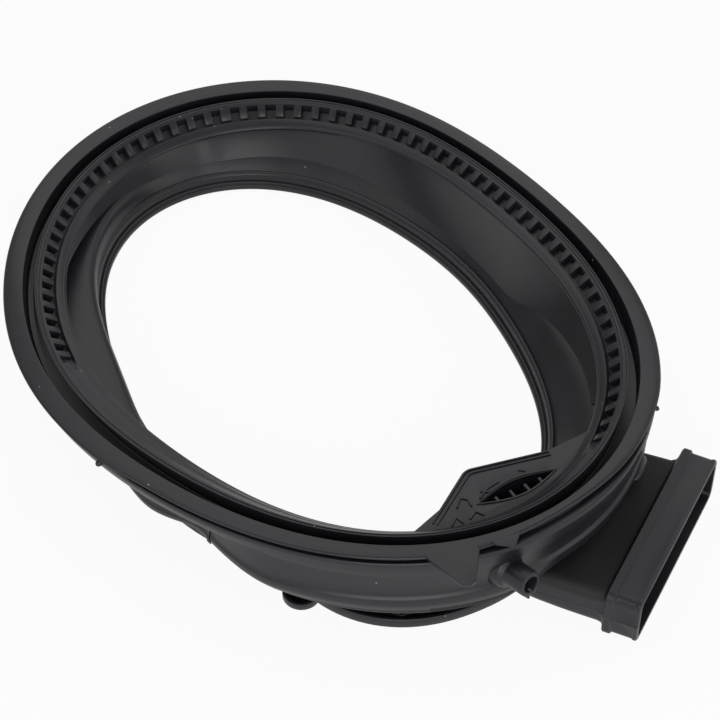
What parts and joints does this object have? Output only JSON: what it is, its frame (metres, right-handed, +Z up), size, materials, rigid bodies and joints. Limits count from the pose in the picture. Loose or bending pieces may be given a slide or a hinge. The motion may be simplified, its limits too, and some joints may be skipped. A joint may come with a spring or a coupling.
{
  "type": "washing machine gasket",
  "caption": "Oval moulded rubber door gasket with a clamp groove, sealing lip, bellows wall, side air duct, water inlet nozzle and lint guard flap.",
  "frame": {"origin": "middle of the part's bounding box on the plane that its rear ring stands on", "axes": "+Z up from the rear ring to the front lip, +X the way that the drying-air duct points, +Y across the duct, away from the inlet nozzle"},
  "size_m": [0.4518, 0.3754, 0.0822],
  "materials": {
    "black_rubber": "satin, with a slight blue tint, fine moulding lines and a little pale dust"
  },
  "bodies": {
    "root": {"gasket": "black_rubber"}
  },
  "joints": []
}
